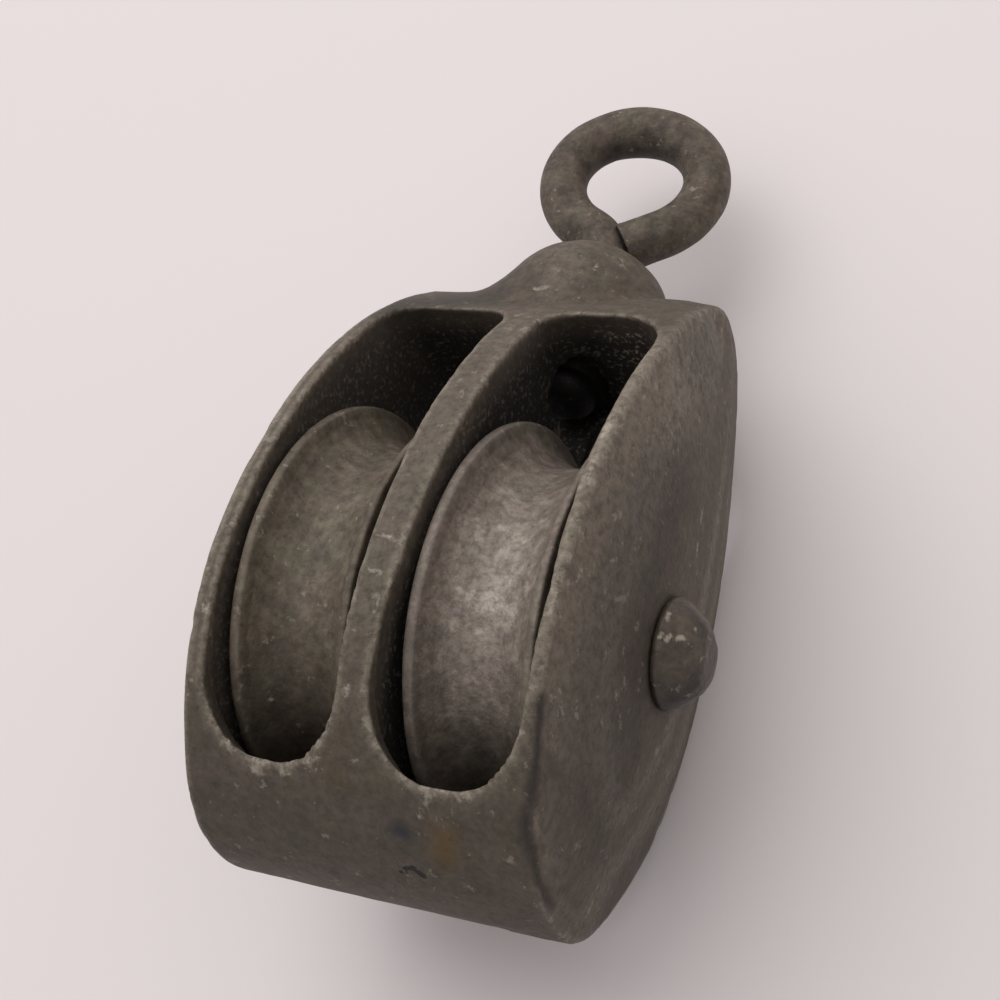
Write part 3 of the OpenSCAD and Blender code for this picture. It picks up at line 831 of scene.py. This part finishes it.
# %% Peened foot, rod and cut end
PEEN_ROWS = [(32.2, 0.4), (32.22, 2.6), (32.5, 3.5), (33.4, 4.75), (33.8, 4.9), (34.5, 4.9),
             (34.78, 4.75), (WASHER_Y, SHANK_R)]
peen = hoop(np.array([[0.0, y] for y, r in PEEN_ROWS]), np.array([[0.0, 1.0]] * len(PEEN_ROWS)),
            np.array([r for y, r in PEEN_ROWS]))
start, way, reach = strand_row(1.0, CUT_ROUND)
strand = [start + (reach * s)[:, None] * way for s in np.linspace(0, 1, 22)]
bows = np.radians([18, 36, 54, 72, 90])
cap = [(1 - 0.07 * (1 - math.cos(bow)), CUT_ROUND * (1 - math.sin(bow))) for bow in bows]
cap += [(share, 0.0) for share in (0.6, 0.35, 0.12)]
for share, back in cap:
    start, way, reach = strand_row(share, back)
    strand.append(start + reach[:, None] * way)
rod_radius = np.where(in_ring, ROD_R, SHANK_R) + TOP_THICK * at_top
eye_grid = np.concatenate([peen, hoop(middle_line, middle_way, rod_radius), np.stack(strand)])
rod_mm = WASHER_Y - PEEN_ROWS[0][0] + bent_mm + float(reach.mean())
print("eye grid:", eye_grid.shape[:2], "whole rod in mm:", round(rod_mm, 1))

# %% Forge the rod and turn it about its shank
outward = eye_grid - eye_grid.mean(1, keepdims=True)
outward /= np.maximum(np.linalg.norm(outward, axis=-1, keepdims=True), 0.2)
forged = rough(eye_grid, 6, 3, 71) * 0.11 + 0.1 + peaks(eye_grid, 1.5, 91, 0.45) * 0.3
forged *= ramp(eye_grid[..., 1], 56, 58.5)
forged[-len(cap) - 1:] *= 0.3
eye_grid = eye_grid - outward * forged[..., None]
eye_x, eye_y, eye_z = np.moveaxis(eye_grid, -1, 0)
# Painted shade: the shank in the boss and the cut end in its seam are black, and the ring's inner
# top, low towards the table, is darker, partly as dirt.
under = ramp(np.hypot(eye_x - RING_X, eye_y - ring_y), 10.5, 8)
under = under * ramp(eye_y, ring_y, ring_y + 5) * ramp(eye_z, 3, 0)
eye_soot = np.maximum(1.0 * (eye_y < 50), 0.6 * under)
eye_soot[-len(cap):] = 1
eye_points, eye_faces = closed_ends(eye_grid)
cos_turn, sin_turn = math.cos(EYE_TURN), math.sin(EYE_TURN)
eye_turned = eye_points @ np.array([[cos_turn, 0, -sin_turn], [0, 1, 0], [sin_turn, 0, cos_turn]])
eye_piece = make_piece("forged_eye", eye_turned, eye_faces, "swivel_eye", "swivel",
                       soot=np.concatenate([eye_soot.ravel(), [1, 1]]))

# %% [markdown]
# ## Colours and nodes
# Colours are written as the sRGB hex values that the eye sees, and one function turns them to
# the linear numbers that shaders use. One more small function adds a node, sets its sockets and
# links, so that a material reads as a list of what it is made of.

# %% Helpers for materials
def colour(text):
    """Linear RGBA of an sRGB hex colour: ((c + 0.055) / 1.055) ^ 2.4 above 0.04045."""
    value = np.array([int(text[i:i + 2], 16) / 255 for i in (1, 3, 5)])
    linear = np.where(value <= 0.04045, value / 12.92, ((value + 0.055) / 1.055) ** 2.4)
    return (*linear.tolist(), 1.0)


def add(tree, kind, inputs=(), **settings):
    """Adds one node: settings are its own options, inputs are numbers, colours or links."""
    made = tree.nodes.new(kind)
    for key, value in settings.items():
        setattr(made, key, value)
    for key, value in dict(inputs).items():
        if isinstance(value, bpy.types.NodeSocket):
            tree.links.new(value, made.inputs[key])
        else:
            made.inputs[key].default_value = value
    return made


def new_material(name):
    """An empty node material and its tree."""
    made = bpy.data.materials.new(name)
    made.use_nodes = True
    made.node_tree.nodes.clear()
    return made, made.node_tree


print("test colour:", [round(v, 3) for v in colour("#5b564b")])

# %% [markdown]
# ## Weathered iron
# All the castings are grey iron with an old, dull oxide skin. Sand casting gives it grit of
# about half a millimetre, handling leaves lighter brown patches of some millimetres, and rims
# are rubbed to a paler, smoother metal. The same layers in other strengths make the shell, the
# two sheaves, the pin and the eye, so one function builds them and each call says what differs.
# Its tables give each noise a size in mm, each share of the surface a range, and each layer its
# share and colour, in the order in which the layers lie on the iron.

# %% A material of layers
MARKS = ("wear", "groove", "soot", "rust", "grey", "pale", "crack", "sand")


def weathered_iron(name, dark, plain, pale, bare, patch_mm, wear, metal, gloss, bump,
                   streak=0.0, groove=0.0, chips=0.3, chip_mm=2.0):
    """Oxidised iron: dark to pale patches with an olive to mauve tint and specks, then, each by
    its share of the surface: bare metal at wear and groove marks, the groove mark partly a painted
    highlight, bare streaks along the block, rust and grey stains by their marks, near-black where
    the dirt and shade mark is, partly dirt and partly painted shade, sand, the crack, pale chips
    and painted glints, and dark pits."""
    made, tree = new_material(name)
    where = add(tree, "ShaderNodeTexCoord").outputs["Object"]
    along = add(tree, "ShaderNodeMapping", {"Vector": where, "Scale": (1.0, 0.14, 0.5)}).outputs[0]
    marks = {mark: add(tree, "ShaderNodeAttribute", attribute_name=mark).outputs["Fac"]
             for mark in MARKS}
    noise = {}
    for key, place, size_mm, detail, roughness in (
            ("patch", where, patch_mm, 6.0, 0.66), ("fine", where, 1.1, 5.0, 0.72),
            ("grit", where, 0.6, 2.0, 0.6), ("hue", where, 3.4, 3.0, 0.5),
            ("streak", along, 1.4, 3.0, 0.5), ("fleck", where, chip_mm, 3.0, 0.75)):
        noise[key] = add(tree, "ShaderNodeTexNoise", {
            "Vector": place, "Scale": 1000 / size_mm, "Detail": detail,
            "Roughness": roughness}).outputs["Fac"]
    low, high = (add(tree, "ShaderNodeMapRange",
                     {"Value": noise["patch"], "From Min": start, "From Max": end},
                     interpolation_type="SMOOTHSTEP").outputs[0]
                 for start, end in ((0.36, 0.52), (0.5, 0.66)))
    # Sums of a mark and a noise, so that a mark's edge breaks up into grains.
    torn = {}
    for key, value, times, plus in (("crack", noise["fine"], 0.7, marks["crack"]),
                                    ("pale", noise["fine"], 1.6, marks["pale"]),
                                    ("fleck", marks["wear"], 0.06, noise["fleck"]),
                                    ("relief", noise["fine"], 0.6, noise["grit"])):
        torn[key] = add(tree, "ShaderNodeMath", {0: value, 1: times, 2: plus},
                        operation="MULTIPLY_ADD").outputs[0]
    share = {}
    for key, value, start, end, least, most in (
            ("hue", noise["hue"], 0.42, 0.6, 0, 1), ("mottle", high, 0, 1, 0.5, 1),
            ("speck", noise["fine"], 0.36, 0.64, 0.76, 1.22),
            ("rub", noise["fine"], 0.36, 0.6, 0.2, wear),
            ("polish_and_highlight", noise["fine"], 0.4, 0.62, 0.35, 1),
            ("streak", noise["streak"], 0.58, 0.78, 0, streak),
            ("sand", noise["grit"], 0.55, 0.67, 0.08, 0.95),
            ("crack", torn["crack"], 1.14, 1.22, 0, 1),
            ("chip", torn["fleck"], 0.635, 0.69, 0, chips),
            ("chip_and_glint", torn["pale"], 1.18, 1.58, 0, 0.8),
            ("clean", marks["soot"], 0, 1, 1, 0.35),
            ("pit", torn["fleck"], 0.38, 0.32, 0, chips)):
        share[key] = add(tree, "ShaderNodeMapRange", {
            "Value": value, "From Min": start, "From Max": end, "To Min": least,
            "To Max": most}).outputs[0]
    share["chip"] = add(tree, "ShaderNodeMath", {0: share["chip"], 1: share["chip_and_glint"]},
                        operation="MAXIMUM").outputs[0]
    for key, factor in (("rub", marks["wear"]), ("polish_and_highlight", share["mottle"]),
                        ("polish_and_highlight", marks["groove"]), ("sand", marks["sand"]),
                        ("chip", share["clean"])):
        share[key] = add(tree, "ShaderNodeMath", {0: share[key], 1: factor},
                         operation="MULTIPLY").outputs[0]
    share["rub"] = add(tree, "ShaderNodeMath", {0: share["polish_and_highlight"], 1: groove, 2: share["rub"]},
                       operation="MULTIPLY_ADD", use_clamp=True).outputs[0]
    tint = add(tree, "ShaderNodeMix", {0: share["hue"], 6: (1.04, 0.98, 0.95, 1),
                                       7: (0.98, 1.0, 0.91, 1)}, data_type="RGBA").outputs[2]
    base = add(tree, "ShaderNodeMix", {0: low, 6: colour(dark), 7: colour(plain)},
               data_type="RGBA").outputs[2]
    base = add(tree, "ShaderNodeMix", {0: high, 6: base, 7: colour(pale)},
               data_type="RGBA").outputs[2]
    for factor in (tint, share["speck"]):
        base = add(tree, "ShaderNodeVectorMath", {0: base, 1: factor},
                   operation="MULTIPLY").outputs[0]
    for part, tone in ((share["rub"], bare), (share["streak"], bare), (marks["rust"], "#66501f"),
                       (marks["grey"], "#262a31"), (marks["soot"], "#0f0d0d"),
                       (share["sand"], "#b5aa9a"), (share["crack"], "#0b0908"),
                       (share["chip"], "#aea596"), (share["pit"], "#26211d")):
        base = add(tree, "ShaderNodeMix", {0: part, 6: base, 7: colour(tone)},
                   data_type="RGBA").outputs[2]
    sheen = add(tree, "ShaderNodeMapRange", {"Value": share["rub"], "To Min": gloss[0],
                                             "To Max": gloss[1]}).outputs[0]
    lifted = add(tree, "ShaderNodeBump", {"Strength": 1.0, "Distance": bump / 1000,
                                          "Height": torn["relief"]}).outputs[0]
    skin = add(tree, "ShaderNodeBsdfPrincipled", {"Base Color": base, "Metallic": metal,
                                                  "Roughness": sheen, "Normal": lifted})
    add(tree, "ShaderNodeOutputMaterial", {"Surface": skin.outputs[0]})
    return made


print("marks that the iron reads:", ", ".join(MARKS))

# %% Dress the pieces
# Sand-cast grey iron with an old olive-grey oxide: dull, with rubbed rims.
cast_shell = weathered_iron("sand_cast_iron", "#514940", "#574f46", "#5d5449", "#8f8576", 3.0,
                            wear=0.8, metal=0.2, gloss=(0.7, 0.5), bump=0.1, streak=0.1,
                            chips=0.32, chip_mm=1.9)
# The same iron in a groove that rope has worn a little, still mostly oxide.
groove_dull = weathered_iron("rope_worn_iron", "#50483f", "#5f574b", "#6c6356", "#877d6f", 2.6,
                             wear=0.45, metal=0.2, gloss=(0.66, 0.5), bump=0.08,
                             groove=0.45, chips=0.35, chip_mm=1.7)
# Iron that rope has rubbed nearly bare, in silvery patches, which the groove mark also places as a
# painted highlight.
groove_bright = weathered_iron("rope_polished_iron", "#625953", "#71685f", "#81786f", "#c0b6ad",
                               2.4, wear=0.2, metal=0.3, gloss=(0.56, 0.38),
                               bump=0.09, groove=0.95, chips=0.3, chip_mm=1.6)
# Hammered mild steel with a thin skin of grease and rust.
hammered_pin = weathered_iron("hammered_steel", "#413932", "#50483f", "#5c544a", "#9d958a", 2.6,
                              wear=0.8, metal=0.3, gloss=(0.42, 0.34), bump=0.09,
                              chips=0.4, chip_mm=2.0)
# Forged rod, pitted by rust.
forged_rod = weathered_iron("forged_iron", "#443c34", "#574e45", "#655c51", "#7f766a", 2.4,
                            wear=0.4, metal=0.2, gloss=(0.62, 0.5), bump=0.14, chips=0.4,
                            chip_mm=1.9)
# Plain stamped washer, painted near-black as shade in its nest.
washer_dark_as_shade = weathered_iron("washer_steel_dark_as_shade", "#0f0d0b", "#15130f", "#1a1814", "#25211d", 3.0,
                              wear=0.0, metal=0.3, gloss=(0.6, 0.5), bump=0.05, chips=0.0)
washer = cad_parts["swivel_washer"]
for piece, finish, slot in ((shell_piece, cast_shell, "shell_iron"),
                            (left_piece, groove_dull, "left_sheave_iron"),
                            (right_piece, groove_bright, "right_sheave_iron"),
                            (pin_piece, hammered_pin, "pin_steel"),
                            (eye_piece, forged_rod, "eye_iron"),
                            (washer, washer_dark_as_shade, "washer_iron")):
    piece.data.materials.clear()
    piece.data.materials.append(finish)
print("finishes:", [m.name for m in bpy.data.materials if m.users])

# %% [markdown]
# ## Table and light
# The table is a plain pale plane, a little pink like the real one. A room lit by daylight is
# brightest on one side, so the world's light fades by direction, from above the eye's end on the
# left to dim below the tail. One large soft lamp over the eye's end gives the shadow its place.
# What the camera and shiny metal see behind the block is a plain pale colour all the same.

# %% Table
TABLE_HALF = 3
table_mesh = bpy.data.meshes.new("table")
table_mesh.from_pydata([(x * TABLE_HALF, y * TABLE_HALF, 0)
                        for x, y in ((-1, -1), (1, -1), (1, 1), (-1, 1))], [], [(0, 1, 2, 3)])
table = bpy.data.objects.new("table", table_mesh)
bpy.context.scene.collection.objects.link(table)
table_paint, tree = new_material("pale_laminate")
coat = add(tree, "ShaderNodeBsdfPrincipled", {"Base Color": colour("#e4dcdc"), "Roughness": 0.6})
add(tree, "ShaderNodeOutputMaterial", {"Surface": coat.outputs[0]})
table_mesh.materials.append(table_paint)
table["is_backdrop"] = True
print("table:", table.dimensions.x, "m square")

# %% Lamp
LAMP_AWAY = 1.4
lamp_data = bpy.data.lights.new("soft_lamp", "AREA")
lamp_data.shape = "DISK"
lamp_data.size = 1.6
lamp_data.energy = 6.6
lamp = bpy.data.objects.new("soft_lamp", lamp_data)
bpy.context.scene.collection.objects.link(lamp)
lamp_way = Vector((-0.36, 0.5, 0.92)).normalized()
lamp.location = lamp_way * LAMP_AWAY
lamp.rotation_euler = lamp_way.to_track_quat("Z", "Y").to_euler()
print("lamp at", [round(v, 2) for v in lamp.location])

# %% Room light and backdrop
sky = bpy.data.worlds.new("room_light")
sky.use_nodes = True
tree = sky.node_tree
tree.nodes.clear()
way = add(tree, "ShaderNodeTexCoord").outputs["Generated"]
side = add(tree, "ShaderNodeVectorMath", {0: way, 1: (-0.25, 0.5, 0.83)}, operation="DOT_PRODUCT")
level = add(tree, "ShaderNodeMapRange", {"Value": side.outputs["Value"], "From Min": -0.3,
                                         "From Max": 1.0, "To Min": 0.05, "To Max": 1.25})
path = add(tree, "ShaderNodeLightPath")
seen = path.outputs["Is Camera Ray"]
for ray in ("Is Glossy Ray", "Is Transmission Ray"):
    seen = add(tree, "ShaderNodeMath", {0: seen, 1: path.outputs[ray]},
               operation="MAXIMUM").outputs[0]
glow = add(tree, "ShaderNodeBackground", {"Color": colour("#f6f3f3"),
                                          "Strength": level.outputs[0]})
backdrop = add(tree, "ShaderNodeBackground", {"Color": colour("#ddd5d5"), "Strength": 1.0})
both = add(tree, "ShaderNodeMixShader", {0: seen, 1: glow.outputs[0], 2: backdrop.outputs[0]})
add(tree, "ShaderNodeOutputWorld", {"Surface": both.outputs[0]})
bpy.context.scene.world = sky
bpy.context.scene.view_settings.view_transform = "Standard"
print("world:", sky.name, "with", len(tree.nodes), "nodes")

# %% Measure and finish
low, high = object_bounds()
print("visual box in mm:", [round(v * 1000, 2) for v in (*low, *high)])
